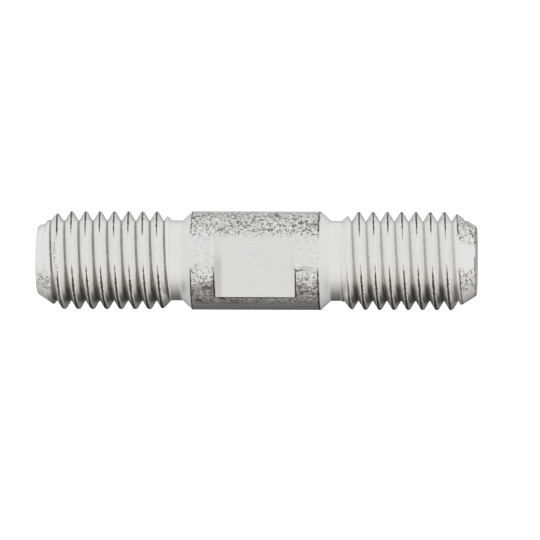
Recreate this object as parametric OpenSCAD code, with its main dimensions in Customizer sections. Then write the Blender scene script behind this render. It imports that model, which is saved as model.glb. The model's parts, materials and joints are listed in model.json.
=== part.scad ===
// Double-ended threaded stud with a plain collar, two spanner flats, relief necks and tapered points.
// It stands on its lower end. The axis is +Z and the origin is the middle of the lower end face.

/* [Thread] */

// Outside diameter over the thread crests
thread_diameter = 13.8; // [13:0.1:14.6]

// Distance from one crest to the next
thread_pitch = 2; // [1.5:0.05:2.5]

// Angle between the two flanks of the groove
flank_angle = 60; // [50:1:70]

// Radius that rounds each crest into its flanks
crest_radius = 0.36; // [0.2:0.01:0.45]

// Width of the land left on top of each rounded crest
crest_land = 0.16; // [0.08:0.01:0.25]

// Width of the land at the bottom of the groove
root_width = 0.08; // [0.04:0.01:0.3]

// Length of each threaded end, with its point and its run-out
thread_length = 18.95; // [12:0.05:30]

// Where a crest of the lower thread crosses the lower end face, as an angle about the axis
lower_thread_angle = 23; // [-180:1:180]

// The same for the upper thread, seen from its own end
upper_thread_angle = 78; // [-180:1:180]

/* [Points] */

// Diameter of the end face before its edge is rounded
end_diameter = 9.4; // [7:0.1:11]

// Slope of the point's taper against the axis
point_angle = 34; // [25:1:45]

// Radius on the edge of the end face
end_edge_radius = 0.5; // [0.2:0.05:1]

/* [Necks] */

// How far the plain neck between a thread and the collar stands above the thread's root
neck_step = 0.05; // [0.01:0.01:0.2]

// Length of each neck
neck_length = 1.5; // [1:0.1:5]

// Slope of the cones on both sides of a neck against the axis
shoulder_angle = 43; // [30:1:60]

// Radius in the corner between a neck and the collar's cone
neck_fillet = 0.5; // [0.2:0.05:1]

/* [Collar] */

// Diameter of the collar
collar_diameter = 13.85; // [13:0.05:16]

// Length of the collar's plain cylinder
collar_length = 18.1; // [15:0.1:40]

// Distance across the two spanner flats
flats_across = 11; // [9:0.1:12.5]

// Length of each spanner flat along the axis
flat_length = 11.1; // [8:0.1:14]

/* [Quality] */

// Straight steps in one turn of the thread
steps_per_turn = 36; // [24:4:48]

// Smoothness of the turned surfaces
turned_steps = 96; // [48:8:144]

/* [Hidden] */

$fn = turned_steps;

// The crest's rounding starts where its arc meets the straight flank
half_flank = flank_angle / 2;
thread_radius = thread_diameter / 2;
crest_drop = crest_radius * (1 - sin(half_flank));
crest_half = crest_radius * cos(half_flank);
flank_depth = (thread_pitch / 2 - crest_half - root_width / 2) / tan(half_flank);
root_radius = thread_radius - crest_drop - flank_depth;
neck_radius = root_radius + neck_step;
collar_radius = collar_diameter / 2;
end_radius = end_diameter / 2;

point_length = (thread_radius - end_radius) / tan(point_angle);
runout_length = (thread_radius - neck_radius) / tan(shoulder_angle);
shoulder_length = (collar_radius - neck_radius) / tan(shoulder_angle);
end_length = thread_length + neck_length + shoulder_length;
stud_length = 2 * end_length + collar_length;

// The groove's section: a root land, two flanks and two bevels that round the crests
// The bevels go on a little past the crest, and half of the crest land stays free between two turns
flank_radius = thread_radius - crest_drop;
flank_half_width = thread_pitch / 2 - crest_half;
bevel_slope = crest_drop / (crest_half - crest_land / 2);
cutter_radius = thread_radius + crest_land / 4 * bevel_slope;
cutter_half_width = thread_pitch / 2 - crest_land / 4;
groove_section = [
    [root_radius, -root_width / 2],
    [root_radius, root_width / 2],
    [flank_radius, flank_half_width],
    [cutter_radius, cutter_half_width],
    [cutter_radius, -cutter_half_width],
    [flank_radius, -flank_half_width]
];

// The groove starts a whole pitch outside the end face and stops just inside the neck
groove_start = -thread_pitch;
groove_stop = thread_length + thread_pitch / 4;
groove_steps = ceil((groove_stop - groove_start) / thread_pitch * steps_per_turn);

// Over the last turn the tool is drawn back, so the groove comes clear of the neck at the foot of its cone
neck_clearance = 0.05;
last_turn_start = groove_stop - thread_pitch;
foot_share = (thread_length - last_turn_start) / thread_pitch;
draw_back = (neck_step + neck_clearance) / foot_share;

// The rounded edge between the end face and the taper, as an arc from the face round to the cone
edge_turn = 90 - point_angle;
edge_center_radius = end_radius - end_edge_radius * tan(edge_turn / 2);
edge_steps = 5;
end_edge = [
    for (i = [0:edge_steps])
        let (turn = edge_turn * i / edge_steps)
        [
            edge_center_radius + end_edge_radius * sin(turn),
            end_edge_radius * (1 - cos(turn))
        ]
];

// The fillet between the neck and the collar's cone, as an arc from the cylinder up to the cone
fillet_steps = 4;
fillet_start = thread_length + neck_length - neck_fillet * tan(shoulder_angle / 2);
neck_corner = [
    for (i = [0:fillet_steps])
        let (turn = shoulder_angle * i / fillet_steps)
        [
            neck_radius + neck_fillet * (1 - cos(turn)),
            fillet_start + neck_fillet * sin(turn)
        ]
];

// Half of the turned outline, from the end face to the edge of the collar
end_outline = concat(
    end_edge,
    [
        [thread_radius, point_length],
        [thread_radius, thread_length - runout_length],
        [neck_radius, thread_length]
    ],
    neck_corner,
    [[collar_radius, end_length]]
);

// How far the tool is drawn back at a height
function tool_lift(height) =
    draw_back * max(0, height - last_turn_start) / thread_pitch;

// One corner of the cutter, a number of steps along its helix
function cutter_corner(step, corner) =
    let (turn = 360 * step / steps_per_turn)
    let (height = groove_start + thread_pitch * step / steps_per_turn)
    let (radius = corner[0] + tool_lift(height))
    [
        radius * cos(turn),
        radius * sin(turn),
        height + corner[1]
    ];

// The blank as it leaves the lathe, before threading and milling
module turned_blank() {
    top = len(end_outline) - 1;
    rotate_extrude()
        polygon(concat(
            [[0, 0]],
            end_outline,
            [for (i = [top:-1:0]) [end_outline[i][0], stud_length - end_outline[i][1]]],
            [[0, stud_length]]
        ));
}

// The helical groove of one right-hand thread, swept along its own helix
// The crest lies half a pitch away from the groove, which is half a turn
module thread_groove(crest_angle) {
    corners = len(groove_section);
    turn_at_start = 360 * groove_start / thread_pitch;
    points = [
        for (step = [0:groove_steps])
            for (corner = groove_section)
                cutter_corner(step, corner)
    ];
    sides = [
        for (step = [0:groove_steps - 1])
            for (c = [0:corners - 1])
                let (a = step * corners + c)
                let (b = step * corners + (c + 1) % corners)
                each [[a, b + corners, b], [a, a + corners, b + corners]]
    ];
    last = groove_steps * corners;
    caps = [
        [for (c = [0:corners - 1]) c],
        [for (c = [corners - 1:-1:0]) last + c]
    ];
    rotate([0, 0, crest_angle + 180 + turn_at_start])
        polyhedron(points = points, faces = concat(sides, caps));
}

// The upper end is the lower one turned over, so both threads are right-handed
module at_upper_end() {
    translate([0, 0, stud_length])
        rotate([180, 0, 0])
            children();
}

// The block of metal that the mill takes off for one flat
module flat_cut() {
    translate([-collar_radius, flats_across / 2, (stud_length - flat_length) / 2])
        cube([collar_diameter, collar_radius, flat_length]);
}

module stud() {
    color([0.72, 0.72, 0.71])
        difference() {
            turned_blank();
            thread_groove(lower_thread_angle);
            at_upper_end() thread_groove(upper_thread_angle);
            flat_cut();
            rotate([0, 0, 180]) flat_cut();
        }
}

stud();
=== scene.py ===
# %% [markdown]
# # A threaded stud, dressed for its portrait
#
# A stud is a bolt without a head: a steel bar with a thread at each end. One end is screwed into a
# casting and the other takes a nut. This one has a plain collar in the middle with two flats for a
# spanner, and a short neck on each side of the collar, where the thread runs out.
#
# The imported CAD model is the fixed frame: it says where everything lies. Its solid could be rendered as
# it is, but its helix goes in straight steps and its crests have no seam. So the surface is built anew
# here, in the same place and in metres, and stands in for the solid.

# %% Load the frame
import json

import bpy
import numpy as np
from mathutils import Matrix, Vector


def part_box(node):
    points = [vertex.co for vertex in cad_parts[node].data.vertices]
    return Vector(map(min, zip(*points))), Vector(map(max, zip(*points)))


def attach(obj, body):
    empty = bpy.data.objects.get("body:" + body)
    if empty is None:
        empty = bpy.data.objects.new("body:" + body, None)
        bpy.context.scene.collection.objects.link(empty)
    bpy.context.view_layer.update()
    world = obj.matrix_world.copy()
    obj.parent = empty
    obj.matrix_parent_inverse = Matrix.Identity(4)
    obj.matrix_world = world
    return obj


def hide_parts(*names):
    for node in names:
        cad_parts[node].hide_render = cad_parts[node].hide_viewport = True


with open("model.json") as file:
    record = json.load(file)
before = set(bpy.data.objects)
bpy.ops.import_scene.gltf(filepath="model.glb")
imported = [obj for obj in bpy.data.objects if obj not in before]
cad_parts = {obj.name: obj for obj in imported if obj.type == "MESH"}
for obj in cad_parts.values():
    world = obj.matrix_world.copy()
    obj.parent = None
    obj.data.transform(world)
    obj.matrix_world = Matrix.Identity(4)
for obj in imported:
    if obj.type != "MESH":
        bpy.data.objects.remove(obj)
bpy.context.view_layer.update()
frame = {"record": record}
MM = 0.001

# %% [markdown]
# ## The sizes on the drawing
#
# A turner works from a drawing in millimetres, so the shape is worked out in millimetres and scaled
# to metres once, when the mesh is made. Every size could be typed in again, but then the two models
# might drift apart. So what the frame knows is read from the frame: the length and the collar from the
# solid's box, the thread and the flats from the mounts in its record.

# %% Sizes in millimetres
mounts = {m["name"]: m for m in frame["record"]["mounts"]}
stud_low, stud_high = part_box("stud")

STUD_LENGTH = (stud_high.z - stud_low.z) / MM
MIDDLE = STUD_LENGTH / 2
COLLAR_RADIUS = stud_high.x / MM
THREAD_RADIUS = mounts["lower_thread"]["dims"]["r_mm"]
THREAD_LENGTH = mounts["lower_thread"]["dims"]["length_mm"]
FLAT_HALF = abs(mounts["rear_flat"]["pos_m"][1]) / MM
print(f"stud {STUD_LENGTH:.2f} long, thread radius {THREAD_RADIUS}, collar radius {COLLAR_RADIUS:.3f}")

# %% [markdown]
# ## The thread's section
#
# A rolled thread has straight flanks, a narrow root and a rounded crest, because the dies squeeze the
# metal up out of the groove. The two streams of metal meet on top, and the crest keeps a fine seam
# there. The section could be a polygon, swept along the helix and joined to the bar. A function that
# gives the drop below the crest at any distance from it needs no joining, so that way was chosen.

# %% Drop from the crest
PITCH = 2.0
FLANK = np.radians(30)
CREST_RADIUS = 0.36
ROOT_WIDTH = 0.08
SEAM_HALF = 0.06
SEAM_DEPTH = 0.05

CREST_HALF = CREST_RADIUS * np.cos(FLANK)
CREST_DROP = CREST_RADIUS * (1 - np.sin(FLANK))
THREAD_DEPTH = CREST_DROP + (PITCH / 2 - CREST_HALF - ROOT_WIDTH / 2) / np.tan(FLANK)
ROOT_RADIUS = THREAD_RADIUS - THREAD_DEPTH


def crest_drop(off):
    """Drop below the crest at a distance off it: an arc near the crest, then a straight flank down to
    the root, and a small V on the crest line for the seam."""
    arc = CREST_RADIUS - np.sqrt(np.maximum(CREST_RADIUS ** 2 - off ** 2, 0))
    flank = CREST_DROP + (off - CREST_HALF) / np.tan(FLANK)
    seam = SEAM_DEPTH * np.clip(1 - off / SEAM_HALF, 0, 1)
    return np.minimum(np.where(off < CREST_HALF, arc, flank), THREAD_DEPTH) + seam


print(f"thread depth {THREAD_DEPTH:.3f}, root radius {ROOT_RADIUS:.3f}")

# %% [markdown]
# ## The edges of the end faces
#
# A turner breaks the sharp edge of each end face with a small radius, which leads into the tapered point
# that helps a nut to start. A bevel modifier could round the edge of a finished mesh, but it would find
# the crests as well. Here the arc is worked out as heights and radii. The upper end is a little wider.

# %% Edges of the end faces
LOWER_END, UPPER_END = 4.7, 4.8
LOWER_EDGE, UPPER_EDGE = 0.5, 0.45
POINT_SLOPE = np.radians(34)
EDGE_POINTS = 6
POINT_LENGTH = (THREAD_RADIUS - LOWER_END) / np.tan(POINT_SLOPE)


def end_edge(radius, size):
    """Heights and radii of an arc of a given size, from the end face round to the cone of the point."""
    slope = np.arctan((THREAD_RADIUS - radius) / POINT_LENGTH)
    turn = np.linspace(0, np.pi / 2 - slope, EDGE_POINTS)
    face_radius = radius - size * np.tan(turn[-1] / 2)
    return np.stack([size * (1 - np.cos(turn)), face_radius + size * np.sin(turn)], axis=1)


lower_edge = end_edge(LOWER_END, LOWER_EDGE)
upper_edge = end_edge(UPPER_END, UPPER_EDGE)
print(f"end faces: radius {lower_edge[0, 1]:.2f} below and {upper_edge[0, 1]:.2f} above")

# %% [markdown]
# ## The necks
#
# Between thread and collar the bar is turned down almost to the root of the thread, so that the dies
# can run out and a nut can go all the way. A fillet keeps the corner at the collar's cone from cracking.
# It is an arc again, made like the edges, because it then joins the same outline.

# %% Necks
NECK_STEP = 0.05
NECK_RADIUS = ROOT_RADIUS + NECK_STEP
NECK_LENGTH = 1.5
NECK_FILLET = 0.5
SHOULDER = np.radians(43)
FILLET_POINTS = 5
END_LENGTH = THREAD_LENGTH + NECK_LENGTH + (COLLAR_RADIUS - NECK_RADIUS) / np.tan(SHOULDER)

fillet_turn = np.linspace(0, SHOULDER, FILLET_POINTS)
fillet_start = THREAD_LENGTH + NECK_LENGTH - NECK_FILLET * np.tan(SHOULDER / 2)
fillet = np.stack([
    fillet_start + NECK_FILLET * np.sin(fillet_turn),
    NECK_RADIUS + NECK_FILLET * (1 - np.cos(fillet_turn)),
], axis=1)
print(f"neck radius {NECK_RADIUS:.3f}, collar from {END_LENGTH:.2f}")

# %% [markdown]
# ## The turned outline
#
# Before it is threaded, the bar is turned on a lathe. That shape is a surface of revolution, so one
# outline says it all. It could be drawn as a curve and spun by a modifier. As a list of heights and
# radii it can be mixed with the thread and the flats later, so it stays a list. Both halves share all
# but the end edge and the cone of the point, and each is read from its own end. The threaded part is
# left to the thread: the outline goes on there until the cones of point and run-out would meet.

# %% Outline of the bar
RUNOUT_SLOPE = np.tan(SHOULDER)


def cone_meeting(radius):
    """Height and radius of the corner where the point's cone and the run-out's would meet, far outside
    the thread: one rises from the end face, the other falls to the neck."""
    rise = (THREAD_RADIUS - radius) / POINT_LENGTH
    meeting = (NECK_RADIUS - radius + THREAD_LENGTH * RUNOUT_SLOPE) / (rise + RUNOUT_SLOPE)
    return [meeting, radius + rise * meeting]


behind_thread = np.concatenate([
    [[THREAD_LENGTH, NECK_RADIUS]],
    fillet,
    [[END_LENGTH, COLLAR_RADIUS], [MIDDLE, COLLAR_RADIUS]],
])
lower_outline = np.concatenate([lower_edge, [cone_meeting(LOWER_END)], behind_thread])
upper_outline = np.concatenate([upper_edge, [cone_meeting(UPPER_END)], behind_thread])


def bar_radius(height):
    """Radius of the turned bar: the outline of the nearer end, read at the distance from that end."""
    below = np.interp(height, lower_outline[:, 0], lower_outline[:, 1])
    above = np.interp(STUD_LENGTH - height, upper_outline[:, 0], upper_outline[:, 1])
    return np.where(height < MIDDLE, below, above)


print("outline corners in each half:", len(lower_outline))

# %% [markdown]
# ## Where the crests lie
#
# A crest climbs one pitch in each turn. Blender's screw modifier could make such a line, but it would
# know nothing of the bar. A function that gives the distance to the nearest crest can be asked at any
# height and angle, and the wear of the coating uses it too. Each end has its own starting height.

# %% Distance from the nearest crest
LOWER_CREST = 2.79
UPPER_CREST = 45.15
CREST_ANGLE = np.radians(170)
FULL_TURN = 2 * np.pi


def off_crest(height, angle):
    """Distance along the axis from the nearest crest, whose line climbs one pitch in each turn."""
    crest_height = np.where(height < MIDDLE, LOWER_CREST, UPPER_CREST)
    turns = (height - crest_height) / PITCH - (angle - CREST_ANGLE) / FULL_TURN
    return (turns - np.round(turns)) * PITCH


print(f"distance from a crest half a turn on: {abs(off_crest(LOWER_CREST, CREST_ANGLE + np.pi)):.2f}")

# %% [markdown]
# ## The thread
#
# The dies leave a groove along a helix. Near the neck it gets a little shallower, so that it ends just
# above the neck. On this stud the first crest of the lower thread was never quite filled. Such a flaw
# could be sculpted by hand, but a bell curve does the same and can be measured.

# %% Radius of the thread
RUNOUT_LIFT = 0.1
RUNOUT_SPAN = 1.5
FLAW_DEPTH = 0.3
FLAW_HEIGHT = 3.3
FLAW_HALF = 0.4
FLAW_TURN = np.radians(60)


def end_distance(height):
    """Distance along the axis from the nearer end face."""
    return np.minimum(height, STUD_LENGTH - height)


def thread_radius(height, angle):
    """The thread's radius: the crest less its drop. The first crest of the lower thread lacks some metal,
    by a bell curve along the axis and around it. Before the neck the groove is drawn out a little, in
    proportion to the distance gone."""
    drawn_out = RUNOUT_LIFT * np.clip((end_distance(height) - THREAD_LENGTH) / RUNOUT_SPAN + 1, 0, 1)
    along_flaw = (height - FLAW_HEIGHT) / FLAW_HALF
    around_flaw = (angle - CREST_ANGLE) / FLAW_TURN
    unfilled = FLAW_DEPTH * np.exp(-along_flaw ** 2 - around_flaw ** 2)
    drop = np.minimum(crest_drop(np.abs(off_crest(height, angle))) + unfilled, THREAD_DEPTH)
    return np.minimum(THREAD_RADIUS, THREAD_RADIUS - drop + drawn_out)


flawed, sound = (thread_radius(LOWER_CREST + climbed, CREST_ANGLE) for climbed in (0, PITCH))
print(f"radius of the seam beside the flaw {flawed:.2f}, one turn on {sound:.2f}")

# %% [markdown]
# ## The dip on the lower point
#
# Below the unfilled crest the lower point has a shallow dip, because metal is missing there too. It
# could be a displacement on top of the mesh, but one more bell curve makes it part of the radius, like
# everything else.

# %% Dip on the lower point
DIP_DEPTH = 0.3
DIP_OFF_CREST = 0.15
DIP_HALF = 0.28
DIP_TURN = np.radians(40)
DIP_HEIGHT = 1.1
DIP_SPAN = 0.6


def point_dip(height, angle):
    """Depth of the dip: a bell curve across the crest line, which fades around the stud and along the
    point."""
    across_dip = np.exp(-((off_crest(height, angle) - DIP_OFF_CREST) / DIP_HALF) ** 2)
    around_dip = np.exp(-((angle - CREST_ANGLE) / DIP_TURN) ** 2)
    along_dip = np.exp(-((height - DIP_HEIGHT) / DIP_SPAN) ** 2)
    return DIP_DEPTH * across_dip * around_dip * along_dip


print(f"dip on the point: {point_dip(DIP_HEIGHT, CREST_ANGLE):.2f} deep at the crest's angle")

# %% [markdown]
# ## The flats
#
# A mill cuts two opposite flats into the collar, so that a spanner can hold the stud. A boolean with two
# blocks would do it, but it leaves long thin faces. A plane is a simple radius too: its distance from
# the axis over the sine of the angle. So the flats join the other radii.

# %% Radius of the flats
FLAT_LENGTH = 11.1
FLAT_LOW, FLAT_HIGH = MIDDLE - FLAT_LENGTH / 2, MIDDLE + FLAT_LENGTH / 2
TINY = 1e-6


def flat_radius(height, angle):
    """A milled face at a fixed distance from the axis: that distance over the sine of the angle between
    the two end walls, and no limit anywhere else."""
    face = FLAT_HALF / np.maximum(np.abs(np.sin(angle)), TINY)
    return np.where((height > FLAT_LOW) & (height < FLAT_HIGH), face, np.inf)


print(f"flats from {FLAT_LOW:.2f} to {FLAT_HIGH:.2f}, {2 * FLAT_HALF:.2f} across")

# %% [markdown]
# ## All radii together
#
# The finished surface is the bar with metal pushed or cut away, so at every point it is the smallest of
# the radii. Where the thread runs into the cones at its two ends, the real corners are rolled over, not
# sharp. Rounding the edges of the mesh would need a different width at each place. A soft minimum
# rounds them by itself, wherever the bar's radius and the thread's come close.

# %% The stud's radius at any height and angle
ROLLED = 0.45


def stud_radius(height, angle):
    """The smallest of the bar, the thread and the flats. Where the thread meets the cone at each of its
    ends, the corner is rolled over: the closer the two radii, the more is taken off."""
    from_end = end_distance(height)
    bar = bar_radius(height) - point_dip(height, angle)
    cut = np.where(from_end < THREAD_LENGTH, thread_radius(height, angle), flat_radius(height, angle))
    rolled = ROLLED * np.clip((THREAD_LENGTH - from_end) / ROLLED, TINY, 1)
    near = np.maximum(rolled - np.abs(bar - cut), 0)
    return np.minimum(bar, cut) - near ** 2 / (4 * rolled)


flat_middle, round_side = stud_radius(MIDDLE, np.pi / 2), stud_radius(MIDDLE, 0.0)
print(f"radius in the middle of a flat {flat_middle:.3f}, on the round side {round_side:.3f}")

# %% [markdown]
# ## The columns of the grid
#
# The surface is laid out on a grid, like the lines on a globe. The columns run along the axis. Evenly
# spaced ones would be simpler, but they would miss the edges of the flats and make them jagged. So one
# column lies on each of those edges, and the others are spread between them.

# %% Columns
FLAT_COLUMNS, ROUND_COLUMNS = 25, 35
flat_edge = np.arcsin(FLAT_HALF / COLLAR_RADIUS)
edge_angles = np.array([
    flat_edge,
    np.pi - flat_edge,
    np.pi + flat_edge,
    FULL_TURN - flat_edge,
    FULL_TURN + flat_edge,
])
column_counts = (FLAT_COLUMNS, ROUND_COLUMNS, FLAT_COLUMNS, ROUND_COLUMNS)
column_angle = np.concatenate([
    np.linspace(a, b, count, endpoint=False)
    for a, b, count in zip(edge_angles[:-1], edge_angles[1:], column_counts)
])
columns = len(column_angle)
print("columns:", columns)

# %% [markdown]
# ## The plain rings
#
# Outside the threads the bar is plain turned metal, so its rows are rings. They could be evenly spaced,
# but then most would lie where nothing happens. They are close together only where the outline bends,
# and two of them stand almost on top of each other at each end wall of the flats, which is steep.

# %% Plain rings
WALL = 0.01
BAND_RINGS, FLAT_RINGS = 9, 17
NECK_RINGS, CONE_RINGS = 5, 6
collar_rings = np.concatenate([
    np.linspace(END_LENGTH, FLAT_LOW, BAND_RINGS),
    np.linspace(FLAT_LOW + WALL, FLAT_HIGH - WALL, FLAT_RINGS),
    np.linspace(FLAT_HIGH, STUD_LENGTH - END_LENGTH, BAND_RINGS),
])
neck_rings = np.concatenate([
    np.linspace(THREAD_LENGTH, fillet[0, 0], NECK_RINGS),
    fillet[1:, 0],
    np.linspace(fillet[-1, 0], END_LENGTH, CONE_RINGS)[1:-1],
])
rings = np.concatenate([
    lower_edge[:, 0],
    neck_rings,
    collar_rings,
    STUD_LENGTH - neck_rings[::-1],
    STUD_LENGTH - upper_edge[::-1, 0],
])
print("rings:", len(rings))

# %% [markdown]
# ## Rows that follow the thread
#
# A thread on plain rings would show jagged crests, because the crest line crosses every ring. Here the
# rows of the threaded ends climb with the helix instead, so a row lies exactly on each crest, seam and
# root. After one turn a row meets the row one pitch higher. At both ends of the thread the rows are
# clipped to a plain ring, where they merge into one.

# %% Helical rows
OFF_ROWS = np.array([0.03, 0.06, 0.1, 0.16, 0.22, 0.28, 0.35, 0.45, 0.57, 0.69, 0.8, 0.9, 0.96])
PITCH_ROWS = np.concatenate([-OFF_ROWS[::-1], [0], OFF_ROWS, [1.0]]) * PITCH / 2
SPARE_TURNS = 2


def helix_rows(low, high, crest_height):
    """Heights of the rows of one threaded end, one line for each row: they start at the first column and
    climb with the angle, clipped between two rings."""
    crest_here = crest_height + PITCH * (column_angle[0] - CREST_ANGLE) / FULL_TURN
    lowest = np.floor((low - crest_here) / PITCH) - SPARE_TURNS
    highest = np.ceil((high - crest_here) / PITCH) + SPARE_TURNS
    turns = np.arange(lowest, highest)
    base = (crest_here + turns[:, None] * PITCH + PITCH_ROWS).ravel()
    return np.clip(base[:, None] + PITCH * (column_angle - column_angle[0]) / FULL_TURN, low, high)


lower_rows = helix_rows(lower_edge[-1, 0], THREAD_LENGTH, LOWER_CREST)
upper_rows = helix_rows(STUD_LENGTH - THREAD_LENGTH, STUD_LENGTH - upper_edge[-1, 0], UPPER_CREST)
print("helical rows:", len(lower_rows), "and", len(upper_rows))

# %% [markdown]
# ## From the rows to faces
#
# Each square between two rows and two columns becomes a face. Blender could fill the rows with its
# bridge tool, but that has to guess which vertices belong together, and here it is known. Where clipped
# rows have merged, a square has lost one side and becomes a triangle, or has lost two and is left out.

# %% Helpers for faces


def strip_faces(here, there):
    """Quads and triangles between rows of vertex numbers and the same rows one column on."""
    squares = np.stack([here[:-1], there[:-1], there[1:], here[1:]], axis=-1).reshape(-1, 4)
    left = squares[:, 0] != squares[:, 3]
    right = squares[:, 1] != squares[:, 2]
    without_left = squares[~left & right][:, [0, 1, 2]]
    without_right = squares[left & ~right][:, [0, 1, 3]]
    return squares[left & right], np.concatenate([without_left, without_right])


def helix_numbers(rows, start, low_ring, high_ring):
    """Vertex numbers of helical rows, with the clipped ones taken from the rings they merge into, and
    the same one column on. Past the last column a row goes on as the row one pitch higher."""
    own = start + np.arange(rows.size).reshape(rows.shape)
    numbers = np.where(rows <= rows.min(), low_ring, np.where(rows >= rows.max(), high_ring, own))
    wrapped = np.append(numbers[len(PITCH_ROWS):, 0], np.full(len(PITCH_ROWS), high_ring[0]))
    return numbers, np.concatenate([numbers[:, 1:], wrapped[:, None]], axis=1)


print("rows in one pitch:", len(PITCH_ROWS))

# %% [markdown]
# ## All faces
#
# The rings come in three groups: the lower edge, everything between the threads, and the upper edge. The
# helical rows fill the two gaps. A fan of triangles around one point closes each end face. One large
# polygon would close it too, but a fan shades more evenly.

# %% Faces
ring_numbers = np.arange(len(rings) * columns).reshape(-1, columns)
lower_split = len(lower_edge)
upper_split = len(rings) - len(upper_edge)
strips = [
    (ring_numbers[a:b], np.roll(ring_numbers[a:b], -1, axis=1))
    for a, b in ((0, lower_split), (lower_split, upper_split), (upper_split, len(rings)))
]
number = ring_numbers.size
for rows, split in ((lower_rows, lower_split), (upper_rows, upper_split)):
    strips.append(helix_numbers(rows, number, ring_numbers[split - 1], ring_numbers[split]))
    number += rows.size
# The last two vertices are the middles of the lower and the upper end face
fans = [
    np.stack([np.roll(ring_numbers[0], -1), ring_numbers[0], np.full(columns, number)], axis=1),
    np.stack([ring_numbers[-1], np.roll(ring_numbers[-1], -1), np.full(columns, number + 1)], axis=1),
]
quads, triangles = (np.concatenate(part) for part in zip(*(strip_faces(*strip) for strip in strips)))
triangles = np.concatenate([triangles] + fans)
print("quads:", len(quads), "triangles:", len(triangles))

# %% [markdown]
# ## The vertices
#
# The height and angle of every vertex give its radius, and so its place. A loop could go through them
# one by one, but numpy works out all of them in a few lines. Each also gets its distance from the
# nearest crest, because the wear of the coating follows the thread.

# %% Vertices
ring_heights = np.broadcast_to(rings[:, None], ring_numbers.shape)
height = np.concatenate([grid.ravel() for grid in (ring_heights, lower_rows, upper_rows)])
around = np.tile(column_angle, len(height) // columns)
radius = stud_radius(height, around)
points = np.stack([radius * np.cos(around), radius * np.sin(around), height], axis=1)
points = np.concatenate([points, [[0, 0, 0], [0, 0, STUD_LENGTH]]]) * MM
crest_distance = np.append(np.abs(off_crest(height, around)), [0, 0])
print(f"radii from {radius.min():.2f} to {radius.max():.2f}")

# %% [markdown]
# ## The mesh
#
# Blender makes a mesh from a list of points and a list of faces. Points that no face uses are dropped
# first. The distance from the crest goes in as an attribute: the material could work it out again, but
# the mesh already knows it. Faces are shaded smooth, and only clear corners stay sharp. The piece rides
# on the frame's root and stands in for the CAD solid.

# %% Mesh
SHARP_ANGLE = np.radians(32)
used, numbers = np.unique(np.concatenate([quads.ravel(), triangles.ravel()]), return_inverse=True)
faces = numbers[:quads.size].reshape(-1, 4).tolist() + numbers[quads.size:].reshape(-1, 3).tolist()
mesh = bpy.data.meshes.new("worn_stud")
mesh.from_pydata(points[used], [], faces)
mesh.polygons.foreach_set("use_smooth", np.ones(len(mesh.polygons), bool))
mesh.set_sharp_from_angle(angle=SHARP_ANGLE)
mesh.attributes.new("crest_distance", "FLOAT", "POINT").data.foreach_set("value", crest_distance[used])
mesh.update()

stud = bpy.data.objects.new("worn_stud", mesh)
bpy.context.scene.collection.objects.link(stud)
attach(stud, "root")
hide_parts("stud")
print("vertices:", len(used), "triangles in all:", 2 * len(quads) + len(triangles))

# %% [markdown]
# ## A material and its nodes
#
# The stud has a thin pale coating. In Blender a finish is a material, and a material is a graph: each
# node works out one number or colour for every point of the surface. The graph could be wired by hand in
# the editor. In a script, one helper that adds a node and links its inputs keeps every later line short.

# %% Material and node helper
coating = bpy.data.materials.new("worn_coating")
coating.use_nodes = True
tree = coating.node_tree
shader = tree.nodes["Principled BSDF"]


def add(kind, values, output=0, **settings):
    """Adds a node, sets its options, and links or sets its inputs by name or number."""
    node = tree.nodes.new(kind)
    for name, value in settings.items():
        setattr(node, name, value)
    for socket, value in values.items():
        if isinstance(value, bpy.types.NodeSocket):
            tree.links.new(value, node.inputs[socket])
        else:
            node.inputs[socket].default_value = value
    return node.outputs[output]


def say_nodes(what):
    """Prints how many nodes there are once a step is done."""
    print(f"{what}: {len(tree.nodes)} nodes so far")


say_nodes("empty material")

# %% [markdown]
# ## Sums and products
#
# Most of the finish is worked out with numbers from 0 to 1, which say how much of something there is at
# a point. Every sum could be a node of its own in the text, but then the formulas would drown in links.
# These helpers take numbers or the outputs of other nodes, and give back an output.

# %% Helpers for sums


def calc(operation, a, b=0.0):
    """One sum, product or other operation on two numbers."""
    return add("ShaderNodeMath", {0: a, 1: b}, operation=operation)


def apart(a, b):
    """The distance between two numbers."""
    return calc("ABSOLUTE", calc("SUBTRACT", a, b))


def lacking(share):
    """What a share lacks to be a whole."""
    return calc("SUBTRACT", 1.0, share)


def product(*factors):
    """All factors multiplied."""
    result = factors[0]
    for factor in factors[1:]:
        result = calc("MULTIPLY", result, factor)
    return result


def most(*values):
    """The largest of some numbers."""
    result = values[0]
    for value in values[1:]:
        result = calc("MAXIMUM", result, value)
    return result


say_nodes("helpers for sums")

# %% [markdown]
# ## Steps and bands
#
# Hardly any border on a worn stud is hard: dirt and wear thin out over a short way. A colour ramp could
# do that, but a smooth step is easier to read back: two numbers say where it starts and where it stops.
# A band is such a step on both sides of a line.

# %% Helpers for steps and bands
BAND_CORE = 0.4


def fade(value, start, stop, low=0.0, high=1.0):
    """A smooth step: low before start, high after stop. Start may be the larger of the two."""
    if start > stop:
        start, stop, low, high = stop, start, high, low
    inputs = {"Value": value, "From Min": start, "From Max": stop, "To Min": low, "To Max": high}
    return add("ShaderNodeMapRange", inputs, interpolation_type="SMOOTHSTEP")


def band(value, middle, half):
    """One in the core of a band, and nothing at its half width and beyond."""
    return fade(apart(value, middle), half, half * BAND_CORE)


say_nodes("helpers for steps and bands")

# %% [markdown]
# ## Spots and colours
#
# Wear is never regular, so most patterns come from a noise: soft random spots that are fixed in space.
# A painted image would do as well, but a noise has no seams and no pixels. Squeezing its coordinates
# along the axis turns round spots into rings or into lines along the stud.

# %% Helpers for spots and colours
HALF_WAY = 0.5


def stretched(place, along_axis):
    """Coordinates times a number along the axis: spots on them get shorter there above one, and longer
    below."""
    return add("ShaderNodeVectorMath", {0: place, 1: (1, 1, along_axis)}, operation="MULTIPLY")


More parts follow.
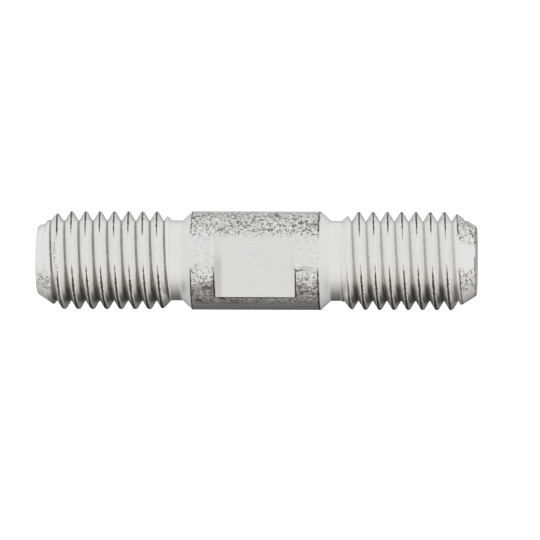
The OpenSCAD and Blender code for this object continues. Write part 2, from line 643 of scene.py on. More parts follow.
def noise(place, scale, detail=2.0, distortion=0.0):
    """Soft random spots, about one over scale millimetres apart, between 0 and 1."""
    inputs = {"Vector": place, "Scale": scale, "Detail": detail, "Distortion": distortion}
    return add("ShaderNodeTexNoise", inputs)


def tint(share, under, over):
    """Goes from one colour to another. Inputs 6 and 7 of a mix node are its two colours."""
    return add("ShaderNodeMix", {0: share, 6: under, 7: over}, output=2, data_type="RGBA")


say_nodes("helpers for spots and colours")

# %% [markdown]
# ## Where a point lies along the stud
#
# Wear and dirt depend on the place. The measures could come from a UV map, but the stud's own
# coordinates, scaled to millimetres, need no unwrapping, and the pattern stays fixed to the stud.

# %% Coordinates
END_BLEND = 1.0
own_place = add("ShaderNodeTexCoord", {}, output="Object")
place = add("ShaderNodeVectorMath", {0: own_place, "Scale": 1 / MM}, operation="SCALE")
across, out, along = add("ShaderNodeSeparateXYZ", {0: place}).node.outputs
from_middle = apart(along, MIDDLE)
out_side = calc("ABSOLUTE", out)
crest = add("ShaderNodeAttribute", {}, output=2, attribute_name="crest_distance")
upper_end = fade(along, MIDDLE - END_BLEND, MIDDLE + END_BLEND)


def by_end(lower, upper):
    """One number for the lower end of the stud and another for the upper one."""
    return fade(upper_end, 0, 1, lower, upper)


say_nodes("coordinates")

# %% [markdown]
# ## Which side of the stud
#
# A stud that has lain about has a rubbed side and a dirty side. They could be told apart by an angle,
# but an angle jumps somewhere. The cosine of the angle from the rubbed side goes smoothly from 1 there
# to -1 on the dirty side. A second cosine tells the front from the back.

# %% Rubbed side and dirty side
RUBBED_WAY = (np.cos(CREST_ANGLE), np.sin(CREST_ANGLE), 0)
FRONT_WAY = (-np.sin(CREST_ANGLE), np.cos(CREST_ANGLE), 0)
level = add("ShaderNodeCombineXYZ", {0: across, 1: out})
reach = most(add("ShaderNodeVectorMath", {0: level}, output="Value", operation="LENGTH"), LOWER_END)
bearing = add("ShaderNodeVectorMath", {0: level, "Scale": calc("DIVIDE", 1.0, reach)}, operation="SCALE")
side = add("ShaderNodeVectorMath", {0: bearing, 1: RUBBED_WAY}, output="Value", operation="DOT_PRODUCT")
front = add("ShaderNodeVectorMath", {0: bearing, 1: FRONT_WAY}, output="Value", operation="DOT_PRODUCT")
say_nodes("sides")

# %% [markdown]
# ## Which turn of the thread
#
# Some marks lie on one turn only: on the first crest or on the last. The turn could be another attribute
# of the mesh. Here it is worked out from the angle: taking off the climb since the crest angle leaves
# the height at which the helix through a point started its turn.

# %% Start of each turn
WHOLE_TURNS = 7
LAST_CREST = UPPER_CREST + WHOLE_TURNS * PITCH
turned = calc("SUBTRACT", calc("ARCTAN2", out, across), CREST_ANGLE)
climb = product(calc("FRACT", product(turned, 1 / FULL_TURN)), PITCH)
turn_start = calc("SUBTRACT", along, climb)
say_nodes("turns")

# %% [markdown]
# ## The parts of the stud
#
# Collar, flats, necks and threads each look different. Separate materials could be given to their
# faces, but then every border would be hard. A share for each part, which fades over a short way, lets
# one material do it all. A rim below is where such a fade starts and where it stops.

# %% Collar, flats, necks and threads
SOFT = 0.02
COLLAR_HALF = MIDDLE - END_LENGTH
WALL_PLACE = FLAT_LENGTH / 2
THREAD_FOOT = MIDDLE - THREAD_LENGTH
FLAT_RIM = (FLAT_HALF - 0.03, FLAT_HALF - 0.01)
THREAD_RIM = (THREAD_FOOT - 0.1, THREAD_FOOT + 0.4)
on_collar = fade(from_middle, COLLAR_HALF + SOFT, COLLAR_HALF - SOFT)
between_walls = fade(from_middle, WALL_PLACE + SOFT, WALL_PLACE - SOFT)
on_flat = product(between_walls, fade(out_side, *FLAT_RIM))
on_round = product(on_collar, lacking(on_flat))
in_neck = fade(from_middle, COLLAR_HALF - SOFT, COLLAR_HALF + SOFT)
on_thread = fade(from_middle, *THREAD_RIM)
say_nodes("parts")

# %% [markdown]
# ## The points
#
# The points are the tapered ends. The thread winds into them, so a border at one height would cut across
# its crests. The border follows the helix instead. At the upper end, where a turn starts over, it also
# fades in with the climb, so that no step shows there.

# %% Points
NEAR_LAST = (LAST_CREST - 0.35, LAST_CREST - 0.2)
BEFORE_FIRST = (LOWER_CREST - 1.1, LOWER_CREST - 1.3)
LATE_IN_TURN = (0.82 * PITCH, PITCH)
past_last = most(
    fade(turn_start, *NEAR_LAST),
    product(fade(climb, *LATE_IN_TURN), fade(along, *NEAR_LAST)),
)
on_point = most(fade(turn_start, *BEFORE_FIRST), past_last)
say_nodes("points")

# %% [markdown]
# ## The clean coating
#
# The coating is pale grey. The flanks of the thread, which the dies have pressed smooth, are painted
# brightest: painted light against the shade that neighbouring flanks cast on each other. Faint rings on
# the necks come from turning, and faint specks lie all over the collar. One plain grey would do from
# afar, but the eye misses the unevenness of a real coating close by. A step below is where the value of
# a noise starts to count and where it counts in full.

# %% Clean coating
WHITE, PALE = (1.0, 1.0, 0.995, 1), (0.94, 0.94, 0.935, 1)
SPECK_GREY = (0.6, 0.6, 0.595, 1)
MOTTLE_STEP, MARKS_STEP, SPECK_STEP = (0.35, 0.65), (0.3, 0.7), (0.5, 0.62)
FLANK_RIM = (0.1, 0.3)
MARKS_SQUEEZE = 16.0
NECK_SHARE, MARKS_SHARE, SPECK_SHARE = 0.6, 0.3, 0.3
mottle = noise(place, scale=4.0)
turning_marks = fade(noise(stretched(place, MARKS_SQUEEZE), scale=0.3, detail=3.0), *MARKS_STEP)
# Painted light: the flanks are painted whiter against the shade between them, and are smoother too
smooth_brightened_flank = product(on_thread, fade(crest, *FLANK_RIM))
faint_specks = fade(noise(place, scale=2.7), *SPECK_STEP)
colour = tint(fade(mottle, *MOTTLE_STEP), PALE, WHITE)
colour = tint(most(smooth_brightened_flank, product(in_neck, NECK_SHARE)), colour, WHITE)
colour = tint(product(in_neck, turning_marks, MARKS_SHARE), colour, PALE)
colour = tint(product(on_round, faint_specks, SPECK_SHARE), colour, SPECK_GREY)
say_nodes("clean coating")

# %% [markdown]
# ## The milled flats
#
# The flats are a shade duller than the rest, and near their middle the mill has left a patch of faint
# dashes. They could be cut into the mesh, but they are far too shallow for that, so they are a tint.

# %% Flats
DULL, DASH_GREY = (0.93, 0.93, 0.925, 1), (0.76, 0.76, 0.755, 1)
DASH_PLACE, DASH_RIM = MIDDLE + 0.6, (2.6, 1.2)
DASH_STRETCH, DASH_STEP, DASH_SHARE = 0.8, (0.52, 0.68), 0.4
dashes = noise(stretched(place, DASH_STRETCH), scale=3.6)
dash_spots = product(fade(dashes, *DASH_STEP), fade(apart(along, DASH_PLACE), *DASH_RIM))
colour = tint(on_flat, colour, DULL)
colour = tint(product(on_flat, dash_spots, DASH_SHARE), colour, DASH_GREY)
say_nodes("flats")

# %% [markdown]
# ## Where the coating is worn
#
# Where the stud has rolled about among others, the coating is worn through in small dark strokes. First
# comes where: a zone on the rubbed side of the collar, and a wider one on the dirty side. Both are
# clearer again along the middle of their side. A sharp border would look masked, so a noise makes the
# side uneven, and the zones fade at their rims.

# %% Worn zones of the collar
SHAKE = 0.3
RUBBED_RIM, DIRTY_RIM = (0.32, 0.66), (0.25, -0.55)
TOP_RIM, BOTTOM_RIM = (0.92, 0.99), (-0.93, -0.86)
CROWD_STEP = (0.38, 0.56)
UPPER_SHIFT = 0.12


def shake(scale, detail):
    """A small random number around zero, to make a border uneven."""
    return product(calc("SUBTRACT", noise(place, scale, detail), HALF_WAY), SHAKE)


uneven_side = calc("ADD", side, shake(scale=0.5, detail=2.0))
crowded = fade(noise(place, scale=0.45), *CROWD_STEP, low=0.8)
clear_top = fade(side, *TOP_RIM, low=0.95, high=0.45)
upper_zone = product(fade(uneven_side, *RUBBED_RIM), clear_top, crowded)
lower_side = calc("ADD", uneven_side, product(upper_end, UPPER_SHIFT))
clear_bottom = fade(side, *BOTTOM_RIM, low=0.35)
lower_zone = product(fade(lower_side, *DIRTY_RIM, high=0.95), clear_bottom)
collar_zone = product(on_round, most(upper_zone, lower_zone))
say_nodes("worn zones of the collar")

# %% [markdown]
# ## The same on the points and the end faces
#
# The points are worn on their dirty side, and the upper one on its rubbed side too. The end faces have
# patches all over, because a stud is often knocked on its end. They could be left clean, as the camera
# hardly sees them, but a part is looked at from every side.

# %% Worn zones of the ends
RUBBED_POINT, DIRTY_POINT = (0.36, 0.6), (0.05, -0.4)
RUBBED_SHARE = 0.85
FACE_RIM = (MIDDLE - 0.03, MIDDLE - 0.005)
FACE_STEP, FACE_SHARE = (0.42, 0.62), 0.8
rubbed_point = product(fade(uneven_side, *RUBBED_POINT), upper_end, RUBBED_SHARE)
dirty_point = fade(uneven_side, *DIRTY_POINT, high=0.8)
point_zone = product(on_point, most(rubbed_point, dirty_point), by_end(lower=0.85, upper=1.0))
on_face = fade(from_middle, *FACE_RIM)
face_zone = product(on_face, fade(noise(place, scale=0.35, detail=3.0), *FACE_STEP), FACE_SHARE)
end_zone = most(product(point_zone, lacking(on_face)), face_zone)
zone = most(collar_zone, end_zone)
spared = lacking(zone)
say_nodes("worn zones of the ends")

# %% [markdown]
# ## Strokes and dots
#
# The wear itself is a crowd of short crooked strokes. Drawing them one by one would take thousands of
# curves. The contour lines of a noise are such strokes: a point is dark where the noise is close to one
# half. A second noise breaks the lines into pieces. Longer strokes lie along the stud.

# %% Strokes and dots
STROKE_HALF, STROKE_CORE = 0.09, 0.03
BREAK_STEP, DOT_STEP = (0.4, 0.53), (0.55, 0.61)
STROKE_STRETCH = 0.4
RIM_LOSS = 0.15


def strokes(spots, breaks):
    """Contour lines of a noise, thinner towards the rim of the zone and broken by a second noise."""
    off_line = calc("ADD", apart(spots, HALF_WAY), product(spared, STROKE_HALF))
    return product(fade(off_line, STROKE_HALF, STROKE_CORE), fade(breaks, *BREAK_STEP))


short_spots = noise(place, scale=1.6, distortion=0.5)
short = strokes(short_spots, noise(place, scale=1.7, detail=1.0))
long_spots = noise(stretched(place, STROKE_STRETCH), scale=1.6, distortion=0.8)
long = strokes(long_spots, noise(place, scale=1.3, detail=1.0))
dots = fade(calc("SUBTRACT", noise(place, scale=3.4), product(spared, RIM_LOSS)), *DOT_STEP)
say_nodes("strokes and dots")

# %% [markdown]
# ## Stain and strokes on the dirty side
#
# Oil has dried to a thin brown stain on the dirty side of the collar, most of all in its lower half. It
# hides some of the short strokes, and the long ones show mostly on that side. A stain could be one more
# coat of paint in the shader, but a tint under the strokes looks the same and is simpler.

# %% Stain and speckle
STAIN_RIM, LOW_EDGE, LOW_STRIP = (-0.42, -0.52), (-0.9, -0.84), (-0.76, -0.66)
LONG_DIRTY, LONG_RUBBED = (-0.3, -0.5), (0.2, 0.4)
ZONE_RIM = (0.0, 0.15)
stain_side = product(
    fade(uneven_side, *STAIN_RIM),
    fade(side, *LOW_EDGE, low=0.1),
    fade(side, *LOW_STRIP, low=0.2),
)
stain = product(on_round, stain_side, by_end(lower=1.0, upper=0.15))
unstained = product(fade(stain, 0, 1, low=1.0, high=0.3), fade(side, *LOW_STRIP, low=0.1))
long_side = most(fade(side, *LONG_DIRTY), fade(side, *LONG_RUBBED, high=0.25))
long_share = product(long, long_side, fade(side, *LOW_STRIP, low=0.35), by_end(lower=0.9, upper=0.4))
speckle = most(product(most(short, dots), unstained), long_share)
speckle = product(speckle, fade(zone, *ZONE_RIM))
say_nodes("stain and speckle")

# %% [markdown]
# ## Streaks on the dirty side
#
# In the stain there are thin dark streaks of grime and pale ones where it has been wiped off, both along
# the stud. They could share the strokes' noise, but then dark and pale would always keep the same
# distance. Two noises of their own, drawn out along the axis, cross them at random.

# %% Dark and pale streaks
DARK_STRETCH, PALE_STRETCH = 0.4, 0.35
DARK_LINE, PALE_STEP = (0.06, 0.03), (0.5, 0.58)
dirty = product(on_round, fade(uneven_side, *STAIN_RIM), fade(side, *LOW_EDGE))
dark_spots = noise(stretched(place, DARK_STRETCH), scale=2.2, distortion=1.0)
dark_lines = fade(apart(dark_spots, HALF_WAY), *DARK_LINE)
dark_streaks = product(dark_lines, dirty, by_end(lower=1.0, upper=0.8))
pale_spots = noise(stretched(place, PALE_STRETCH), scale=3.2, distortion=0.6)
pale_streaks = product(dirty, fade(pale_spots, *PALE_STEP))
say_nodes("streaks")

# %% [markdown]
# ## Scuffs and drawn lines
#
# Beside the flat a harder edge has dragged over the collar and left two thin scuffs. Near the middle of
# the dirty side run fine lines from the drawing of the bar. Curves could mark them, but a narrow band of
# the side needs no extra piece, and a noise makes it uneven.

# %% Scuffs and drawn lines
MAIN_SCUFF, THIN_SCUFF = -0.2, -0.13
MAIN_HALF, THIN_HALF = 0.03, 0.025
MAIN_ALONG = (0.5, 2.6)
THIN_MIDDLE, THIN_REACH, THIN_SHARE = 1.8, 1.4, 0.4
SCUFF_FRONT = (0, 0.2)
DRAWN_STRETCH, DRAWN_STEP = 0.06, (0.45, 0.62)
DRAWN_SIDE, DRAWN_HALF, DRAWN_SHARE = -0.89, 0.11, 0.4
scuff_side = calc("ADD", side, shake(scale=0.6, detail=3.0))
past_flat = calc("SUBTRACT", from_middle, WALL_PLACE)
main_along = fade(past_flat, *MAIN_ALONG, low=0.9, high=0.3)
main_scuff = product(band(scuff_side, MAIN_SCUFF, MAIN_HALF), main_along)
thin_along = band(past_flat, THIN_MIDDLE, THIN_REACH)
thin_scuff = product(band(scuff_side, THIN_SCUFF, THIN_HALF), thin_along, THIN_SHARE)
scuff = product(most(main_scuff, thin_scuff), on_round, upper_end, fade(front, *SCUFF_FRONT))
drawn = fade(noise(stretched(place, DRAWN_STRETCH), scale=3.0), *DRAWN_STEP)
drawn = product(on_round, drawn, band(side, DRAWN_SIDE, DRAWN_HALF), DRAWN_SHARE)
wear = most(speckle, scuff, drawn)
say_nodes("scuffs and drawn lines")

# %% [markdown]
# ## The seams on the crests
#
# The seam on each crest is painted black, as painted shade in the crease: the seam is in the mesh, but
# shadow alone leaves it grey. The line is left out on a strip along the stud between the rubbed and the
# dirty side. The attribute with the distance from the crest paints it, with an uneven edge and a few
# breaks.

# %% Painted shade in the seams
AFTER_FIRST = (LOWER_CREST + 0.5, LOWER_CREST + 1.0)
BEFORE_LAST = (LAST_CREST - 0.7, LAST_CREST - 1.2)
AFTER_RUNOUT = (THREAD_FOOT + 0.8, THREAD_FOOT + 1.2)
THIN_SIDE, THIN_WIDTH, THINNER = 0.2, 0.75, 0.07
WIDER_RIM = (-0.3, -0.55)
SEAM_RUBBED, SEAM_DIRTY = (0.42, 0.66), (-0.02, -0.25)
SEAM_BREAKS, UNBROKEN_RIM = (0.22, 0.36), (-0.2, -0.4)
SEAM_LINE = (0.17, 0.1)
wobble = shake(scale=2.6, detail=3.0)
whole_turn = product(fade(turn_start, *AFTER_FIRST), fade(turn_start, *BEFORE_LAST))
full_crest = product(whole_turn, fade(from_middle, *AFTER_RUNOUT))
thinned = product(band(side, THIN_SIDE, THIN_WIDTH), THINNER)
thinned = calc("SUBTRACT", thinned, fade(side, *WIDER_RIM, high=0.03))
from_seam = calc("ADD", calc("ADD", crest, wobble), thinned)
seam_side = most(fade(uneven_side, *SEAM_RUBBED), fade(side, *SEAM_DIRTY))
seam_breaks = most(fade(noise(place, scale=1.3), *SEAM_BREAKS), fade(side, *UNBROKEN_RIM))
# Painted shade: a black line along each crest seam, with breaks
seam = product(full_crest, fade(from_seam, *SEAM_LINE), seam_side, seam_breaks)
say_nodes("seams")

# %% [markdown]
# ## The roots of the thread
#
# The roots are darkened all round by a thin line of painted shade. On the dirty side it widens to a
# brown wedge of painted shade. A mask from the curvature of the mesh would be even all round the stud,
# so the distance from the crest is used again, with a width that depends on the side.

# %% Painted shade in the roots
BEFORE_CREST = (LOWER_CREST - 0.3, LOWER_CREST - 0.7)
LAST_TURN = (LAST_CREST - 1.4, LAST_CREST - 1.1)
WEDGE_RIM, WEDGE_WIDTH, FIRST_NARROWER = (-0.05, -0.8), 0.13, 0.02
ROOT_WOBBLE, ROOT_LINE = 0.3, (0.86, 0.97)
DEEP_RIM, FIRST_DEEP = (-0.35, -0.75), 0.9
FIRST_FAINT = (-0.1, -0.4)
first_turn = fade(turn_start, *BEFORE_CREST)
root_wedge = product(fade(side, *WEDGE_RIM), WEDGE_WIDTH)
root_wedge = calc("SUBTRACT", root_wedge, product(first_turn, FIRST_NARROWER))
root_edge = calc("ADD", calc("ADD", crest, product(wobble, ROOT_WOBBLE)), root_wedge)
root_depth = most(by_end(lower=0.68, upper=0.42), product(first_turn, FIRST_DEEP))
root_depth = most(root_depth, fade(side, *DEEP_RIM, high=0.85))
end_turns = most(fade(turn_start, *LAST_TURN), product(first_turn, fade(side, *FIRST_FAINT)))
# Painted shade in the roots: a thin line all round, wider and darker on the dirty side
root_shade_line = product(fade(root_edge, *ROOT_LINE), root_depth, fade(end_turns, 0, 1, low=1.0, high=0.65))
say_nodes("roots")

# %% [markdown]
# ## The dirty side of the thread
#
# On the dirty side, the flank that rises from each root and the whole underside of the thread are
# painted dark. Darker light from below darkens the clean parts too, and two shares of painted shade add
# to it: one for the rising flank, one for the underside. They end where the points begin.

# %% Flanks and underside
LOWER_POINT = (1.4, 1.7)
UPPER_POINT = (STUD_LENGTH - 2.6, STUD_LENGTH - 2.9)
RISING_HALF = (0.52, 0.48)
SKIRT_UP, SKIRT_SIDE, SKIRT_SHARE = (0.3, 0.7), (-0.55, -0.82), 0.45
UNDER_RIM, CREST_RIM = (-0.72, -0.92), (0.1, 0.5)
crest_start = by_end(LOWER_CREST, UPPER_CREST)
turn_share = calc("FRACT", product(calc("SUBTRACT", turn_start, crest_start), 1 / PITCH))
rising_flank = fade(turn_share, *RISING_HALF)
# Painted shade on the flank that rises from each root, on the dirty side
rising_flank_shade = product(rising_flank, fade(crest, *SKIRT_UP), fade(side, *SKIRT_SIDE), SKIRT_SHARE)
# Painted shade on the underside of the thread
underside_shade = product(fade(side, *UNDER_RIM), fade(crest, *CREST_RIM, low=0.62, high=0.75))
thread_part = product(on_thread, fade(along, *LOWER_POINT), fade(along, *UPPER_POINT))
say_nodes("flanks and underside")

# %% [markdown]
# ## Dirt in the necks
#
# A neck is hard to reach with a cloth, so some dirt stays in it, in thin rings on the dirty side. Plain
# spots would look like splashes of paint, so the noise is squeezed along the axis.

# %% Dirt in the necks
NECK_FOOT = (THREAD_FOOT, THREAD_FOOT - 0.1)
NECK_HEAD = (THREAD_FOOT - 1.7, THREAD_FOOT - 1.4)
NECK_SQUEEZE, DIRT_STEP = 9.0, (0.42, 0.66)
NECK_SIDE, DIRT_SHARE = (-0.68, -0.92), 0.5
on_neck = product(fade(from_middle, *NECK_FOOT), fade(from_middle, *NECK_HEAD))
neck_dirt = fade(noise(stretched(place, NECK_SQUEEZE), scale=0.5, detail=3.0), *DIRT_STEP)
neck_dirt = product(on_neck, neck_dirt, fade(side, *NECK_SIDE), DIRT_SHARE)
# The thread's painted shade in roots, rising flanks and underside, with the dirt in the necks
grime_and_shade = most(product(thread_part, most(root_shade_line, rising_flank_shade, underside_shade)), neck_dirt)
say_nodes("necks")

# %% [markdown]
# ## Lines along the edges
#
# Dirt gathers along the collar's edges. Along the flats, beside their end walls and their long edges,
# dark lines are painted on the dirty side as shade. A mask from the curvature would find every edge
# alike, and here they differ: the lines are full on the dirty side, broken on the rubbed side and missing
# between. So each is a narrow band at a known place.

# %% Edges of the collar and the flats
EDGE_GAPS = (0.38, 0.5)
EDGE_RUBBED, EDGE_DIRTY = (0.4, 0.6), (-0.1, -0.35)
UPPER_NEARER = 0.15
EDGE_PLACE, EDGE_HALF = COLLAR_HALF - 0.06, 0.14
WALL_LINE_PLACE, WALL_LINE_HALF, WALL_LINE_RIM = WALL_PLACE + 0.16, 0.15, (FLAT_HALF - 0.2, FLAT_HALF)
FLAT_LINE, FLAT_LINE_HALF = FLAT_HALF - 0.05, 0.1
LINES_SIDE = (-0.12, -0.3)
edge_gaps = fade(noise(place, scale=1.6), *EDGE_GAPS)
edge_side = most(product(fade(uneven_side, *EDGE_RUBBED), edge_gaps), fade(uneven_side, *EDGE_DIRTY))
edge_place = calc("ADD", from_middle, product(upper_end, UPPER_NEARER))
collar_edge = product(band(edge_place, EDGE_PLACE, EDGE_HALF), edge_side)
beside_wall = product(band(from_middle, WALL_LINE_PLACE, WALL_LINE_HALF), fade(out_side, *WALL_LINE_RIM))
along_flat = product(band(out_side, FLAT_LINE, FLAT_LINE_HALF), between_walls)
# Painted shade along the flats' walls and edges, on the dirty side only
flat_edge_shade = product(most(beside_wall, along_flat), fade(side, *LINES_SIDE))
say_nodes("edges")

# %% [markdown]
# ## The fold on the first crest
#
# The first crest is not quite filled: its seam is a fold that strays from the helix, with a few flecks
# beside it. A curve laid on the surface could draw it. Here the line is the start of its turn, bent a
# little by the side, so it needs no extra piece.

# %% First fold
BEND_SIDE, BEND_HALF, BEND = 0.17, 0.38, 0.28
BEND_RIM = (0.5, 0.2)
WIDE_MIDDLE, WIDE_RIM = 0.1, (0.3, 0.6)
FOLD_LINE = (0.11, 0.06)
FOLD_GAPS, GAPS_SHARE = (0.45, 0.52), 0.6
FOLD_RUBBED, FOLD_DIRTY = (0.5, 0.6), (-0.2, -0.35)
FLECK_REACH, FLECK_SIDE, FLECK_HALF = 0.5, 0.15, 0.55
FLECK_STEP, FLECK_SHARE = (0.56, 0.64), 0.4
fold_bend = calc("ADD", product(band(side, BEND_SIDE, BEND_HALF), BEND), fade(side, *BEND_RIM, high=0.12))
from_fold = calc("ADD", calc("SUBTRACT", turn_start, LOWER_CREST), calc("ADD", fold_bend, wobble))
widened = fade(apart(side, WIDE_MIDDLE), *WIDE_RIM, high=0.05)
fold_edge = calc("SUBTRACT", calc("ABSOLUTE", from_fold), widened)
fold_gaps = product(fade(noise(place, scale=2.4), *FOLD_GAPS), GAPS_SHARE)
fold_side = most(fold_gaps, fade(side, *FOLD_RUBBED), fade(side, *FOLD_DIRTY))
fold_line = product(fade(fold_edge, *FOLD_LINE), fold_side)
fleck_zone = product(band(from_fold, 0.0, FLECK_REACH), band(side, FLECK_SIDE, FLECK_HALF))
flecks = product(fleck_zone, fade(noise(place, scale=4.5), *FLECK_STEP), FLECK_SHARE)
say_nodes("first fold")

# %% [markdown]
# ## The fold on the last crest
#
# The last crest of the upper thread ends in a fold too, a little before the crest line. It is made in
# the same way as the first. Both show on the front only, and fade towards the back.

# %% Last fold
LAST_FOLD = LAST_CREST - 0.28
LAST_HALF = 0.12
LAST_RUBBED, LAST_DIRTY = (0.5, 0.65), (-0.1, -0.3)
FOLD_FRONT = (-0.1, 0.2)
from_last = calc("ADD", calc("SUBTRACT", turn_start, LAST_FOLD), wobble)
last_side = most(fade(side, *LAST_RUBBED), fade(side, *LAST_DIRTY))
last_line = product(band(from_last, 0.0, LAST_HALF), last_side)
fold = product(most(fold_line, flecks, last_line), fade(front, *FOLD_FRONT))
say_nodes("last fold")

# %% [markdown]
# ## The upper edge and the shade on the flat
#
# The rounded edge and the face of the upper end are painted darker than the point, as shade, and a
# broken line marks where the edge begins. On the flat a soft shade lies beside the lower end wall.
# Blender's own shadows are too weak for it in this even light, so a tint makes it.

# %% Upper edge and wall shade
EDGE_HEIGHT, LINE_HALF, LINE_SHARE = 0.22, 0.1, 0.8
LINE_BREAKS = (0.4, 0.55)
STRIP_RIM, STRIP_TOP = (0.22, 0.16), (0.0, 0.03)
SHADE_PLACE, SHADE_RIM, SHADE_SIDE = FLAT_LOW + 0.45, (0.85, 0.0), (0.2, -0.05)
from_top = calc("SUBTRACT", STUD_LENGTH, along)
line_breaks = fade(noise(place, scale=0.9, detail=1.0), *LINE_BREAKS)
end_line = product(band(from_top, EDGE_HEIGHT, LINE_HALF), line_breaks, LINE_SHARE)
# Painted shade on the rounded edge and the face of the upper end
top_end_shade = product(fade(from_top, *STRIP_RIM), fade(from_top, *STRIP_TOP, low=0.55, high=0.9))
lines = most(product(on_round, most(collar_edge, flat_edge_shade)), fold, end_line)
wall_shade = fade(apart(along, SHADE_PLACE), *SHADE_RIM)
wall_shade = product(on_flat, wall_shade, fade(side, *SHADE_SIDE, low=0.1, high=0.5))
say_nodes("upper edge and shade")

# %% [markdown]
# ## The colours laid on
#
# A warm tone on the thread, haze, painted shade and stain are laid over the clean coating first, then the
# worn places, then dark streaks with the painted shade of the thread, and the darkest lines, with the
# painted shade in the seams, last. They could be layers of several shaders, but one colour for one
# shader renders faster and can be read from top to bottom.

# %% Colours of wear and dirt
BEIGE, CREAM = (1.0, 0.98, 0.955, 1), (0.95, 0.91, 0.86, 1)
HAZE, SHADE = (0.7, 0.7, 0.695, 1), (0.55, 0.55, 0.54, 1)
BROWN, STEEL = (0.33, 0.30, 0.27, 1), (0.10, 0.097, 0.093, 1)
GRIME_AND_SHADE, BLACK = (0.10, 0.083, 0.068, 1), (0.02, 0.018, 0.016, 1)
WARM_RIM = (-0.05, -0.6)
HAZE_SHARE, STAIN_SHARE = 0.1, 0.35
STREAK_SHARE, WEAR_SHARE = 0.85, 0.85
GRIME_AND_SHADE_SHARE, BLACK_SHARE = 0.9, 0.9
colour = tint(product(on_thread, fade(side, *WARM_RIM)), colour, BEIGE)
colour = tint(product(on_round, upper_zone, HAZE_SHARE), colour, HAZE)
# Painted shade beside the flat's end wall and on the upper end's edge
colour = tint(most(wall_shade, top_end_shade), colour, SHADE)
colour = tint(product(stain, STAIN_SHARE), colour, BROWN)
colour = tint(product(pale_streaks, STREAK_SHARE), colour, CREAM)
colour = tint(product(wear, WEAR_SHARE), colour, STEEL)
colour = tint(product(dark_streaks, STREAK_SHARE), colour, GRIME_AND_SHADE)
# Painted shade of the thread, with the dirt in the necks
colour = tint(product(grime_and_shade, GRIME_AND_SHADE_SHARE), colour, GRIME_AND_SHADE)
# Painted shade in the seams and along the flats' edges, with the other dark lines
colour = tint(product(most(seam, lines), BLACK_SHARE), colour, BLACK)
tree.links.new(colour, shader.inputs["Base Color"])
say_nodes("colours")

# %% [markdown]
# ## Shine and relief
#
# The coating is so thin that the stud still shines like metal, though softly. Worn places, dirt and the
# painted shade of the thread are a little rougher, worn places lie a little deeper than the coating
# around them, and the rolled flanks are smoother. The depth is a few hundredths of a millimetre, so it is
# a bump and not a shape.

# %% Finished material
COATING_ROUGH, WORN_ROUGH = 0.35, 0.5
FLANK_SMOOTHER = 0.12
BUMP_STRENGTH, BUMP_HEIGHT = 0.25, 0.02 * MM
MOTTLE_RISE, SEAM_SINK = 0.3, 2.0
worn_and_shaded = most(wear, grime_and_shade)
roughness = fade(worn_and_shaded, 0, 1, COATING_ROUGH, WORN_ROUGH)
roughness = calc("SUBTRACT", roughness, product(smooth_brightened_flank, FLANK_SMOOTHER))
relief = calc("SUBTRACT", product(mottle, MOTTLE_RISE), most(wear, product(seam, SEAM_SINK)))
bump = add("ShaderNodeBump", {"Strength": BUMP_STRENGTH, "Distance": BUMP_HEIGHT, "Height": relief})
tree.links.new(roughness, shader.inputs["Roughness"])
tree.links.new(bump, shader.inputs["Normal"])
shader.inputs["Metallic"].default_value = 1.0
stud.data.materials.append(coating)
say_nodes("finished coating")

# %% [markdown]
# ## The floor
#
# The stud stands on one end on a plain pale floor, like a sheet of white card. A shadow catcher would
# show no floor at all, and a bright card would shine up into the thread. So the floor is a large square
# that glows a little, and it is hidden from reflections, because the light tent does the lighting.

# %% Floor
HALF_FLOOR = 2.0
CARD_WHITE, GLOW_WHITE = (0.9, 0.9, 0.9, 1), (1, 1, 1, 1)
CARD_ROUGH, CARD_GLOW = 0.9, 0.8
floor_corners = [
    (-HALF_FLOOR, -HALF_FLOOR, 0),
    (HALF_FLOOR, -HALF_FLOOR, 0),
    (HALF_FLOOR, HALF_FLOOR, 0),
    (-HALF_FLOOR, HALF_FLOOR, 0),
]
floor_mesh = bpy.data.meshes.new("floor")
floor_mesh.from_pydata(floor_corners, [], [(0, 1, 2, 3)])
floor = bpy.data.objects.new("floor", floor_mesh)
bpy.context.scene.collection.objects.link(floor)
pale = bpy.data.materials.new("pale_floor")
pale.use_nodes = True
pale_shader = pale.node_tree.nodes["Principled BSDF"]
pale_shader.inputs["Base Color"].default_value = CARD_WHITE
pale_shader.inputs["Roughness"].default_value = CARD_ROUGH
pale_shader.inputs["Emission Color"].default_value = GLOW_WHITE
pale_shader.inputs["Emission Strength"].default_value = CARD_GLOW
floor.data.materials.append(pale)
floor.visible_glossy = False
floor.visible_diffuse = False
print("floor:", 2 * HALF_FLOOR, "m square")

# %% [markdown]
# ## The light
#
# Small shiny parts are photographed in a light tent: white cloth all round, so that nothing but soft
# light is mirrored. One side of it is dark here, behind the stud and below it in the picture, which
# gives the round bar its shade. Area lamps could do it, but their edges would show as stripes on the
# metal. A sky whose brightness falls smoothly towards one direction has no edges.

# %% Direction of the dark side
DARK_ANGLE = np.radians(42)
HEIGHT_WEIGHT = 3.6
CLOTH_WHITE = (1, 1, 1, 1)
scene = bpy.context.scene
world = bpy.data.worlds.new("light_tent")
scene.world = world
world.use_nodes = True
sky = world.node_tree
background = sky.nodes["Background"]
background.inputs["Color"].default_value = CLOTH_WHITE
way = sky.nodes.new("ShaderNodeTexCoord")
weighted = sky.nodes.new("ShaderNodeVectorMath")
weighted.operation = "MULTIPLY"
weighted.inputs[1].default_value = (1, 1, HEIGHT_WEIGHT)
heading = sky.nodes.new("ShaderNodeVectorMath")
heading.operation = "NORMALIZE"
dark_side = sky.nodes.new("ShaderNodeVectorMath")
dark_side.operation = "DOT_PRODUCT"
dark_side.inputs[1].default_value = (np.cos(DARK_ANGLE), np.sin(DARK_ANGLE), 0)
sky.links.new(way.outputs["Generated"], weighted.inputs[0])
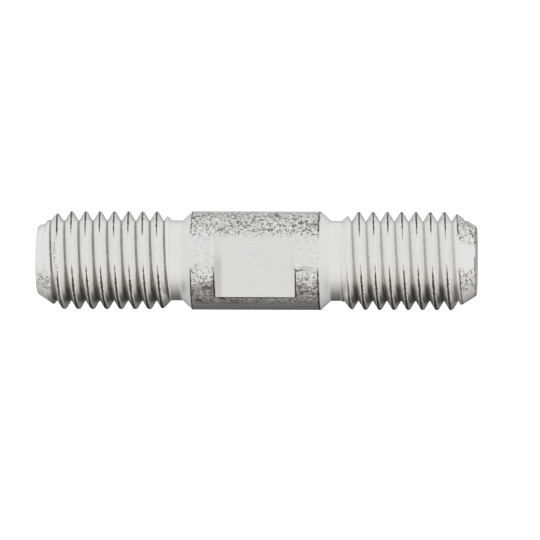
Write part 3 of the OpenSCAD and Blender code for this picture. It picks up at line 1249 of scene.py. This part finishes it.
sky.links.new(weighted.outputs["Vector"], heading.inputs[0])
sky.links.new(heading.outputs["Vector"], dark_side.inputs[0])
print(f"dark side of the tent: {np.degrees(DARK_ANGLE):.0f} degrees from +X")

# %% [markdown]
# ## The brightness of the tent
#
# The brightness falls in a straight line towards the dark side. The picture's own ground is pure white,
# so what the camera sees directly is bright everywhere. A white plane behind the stud could make that
# ground, but it would light the stud from behind as well.

# %% Brightness
BRIGHT, DARK = 0.78, 0.02
DUSK_START, DUSK_STOP = 0.0, 1.05
SEEN_BRIGHT = 1.1
dusk = sky.nodes.new("ShaderNodeMapRange")
dusk.interpolation_type = "LINEAR"
dusk.inputs["From Min"].default_value = DUSK_START
dusk.inputs["From Max"].default_value = DUSK_STOP
dusk.inputs["To Min"].default_value = BRIGHT
dusk.inputs["To Max"].default_value = DARK
sight = sky.nodes.new("ShaderNodeLightPath")
seen = sky.nodes.new("ShaderNodeMix")
seen.inputs["B"].default_value = SEEN_BRIGHT
sky.links.new(dark_side.outputs["Value"], dusk.inputs["Value"])
sky.links.new(dusk.outputs["Result"], seen.inputs["A"])
sky.links.new(sight.outputs["Is Camera Ray"], seen.inputs["Factor"])
sky.links.new(seen.outputs["Result"], background.inputs["Strength"])
print(f"tent brightness from {BRIGHT} down to {DARK}")

# %% [markdown]
# ## The camera
#
# The photograph shows the stud lying across the picture, almost square on. The stud could be laid down
# for it, but it belongs to the frame and stays upright. So the camera lies on its side: its right hand
# points up along the stud's axis. A small yaw and a tiny roll were measured in the photo.

# %% Directions of the camera
SIDE_ANGLE = np.radians(260)
YAW = np.radians(3.0)
ROLL = np.radians(0.17)

side_on = Vector((np.cos(SIDE_ANGLE), np.sin(SIDE_ANGLE), 0))
axis = Vector((0, 0, 1))
back = side_on * np.cos(YAW) + axis * np.sin(YAW)
level_right = (axis - back * axis.dot(back)).normalized()
level_up = back.cross(level_right)
right = level_right * np.cos(ROLL) + level_up * np.sin(ROLL)
up = level_up * np.cos(ROLL) - level_right * np.sin(ROLL)
print("camera looks from", [round(part, 3) for part in back])

# %% [markdown]
# ## Its place and lens
#
# The photograph shows hardly any perspective, so it was taken from far away with a long lens. A camera
# without perspective would be close, but not quite the same. The lens follows from the distance and
# from the pixels to a millimetre, and the aim from the pixel where the middle of the stud lies.

# %% Camera
PHOTO_SIDE = 540
PIXELS_PER_MM = 7.125
DISTANCE = 990.0
STUD_PIXEL = (257.05, 260.6)
SENSOR = 36

shift_right = (PHOTO_SIDE / 2 - STUD_PIXEL[0]) / PIXELS_PER_MM
shift_up = (STUD_PIXEL[1] - PHOTO_SIDE / 2) / PIXELS_PER_MM
centre = Vector((0, 0, MIDDLE))
aim = centre + right * shift_right + up * shift_up
spot = (aim + back * DISTANCE) * MM

lens = bpy.data.cameras.new("camera")
lens.sensor_width = SENSOR
lens.lens = PIXELS_PER_MM * DISTANCE / PHOTO_SIDE * lens.sensor_width
camera = bpy.data.objects.new("camera", lens)
camera.matrix_world = Matrix((
    (right.x, up.x, back.x, spot.x),
    (right.y, up.y, back.y, spot.y),
    (right.z, up.z, back.z, spot.z),
    (0, 0, 0, 1),
))
scene.collection.objects.link(camera)
scene.camera = camera
scene.view_settings.view_transform = "Standard"
print(f"lens {lens.lens:.0f} mm, {DISTANCE:.0f} mm away")
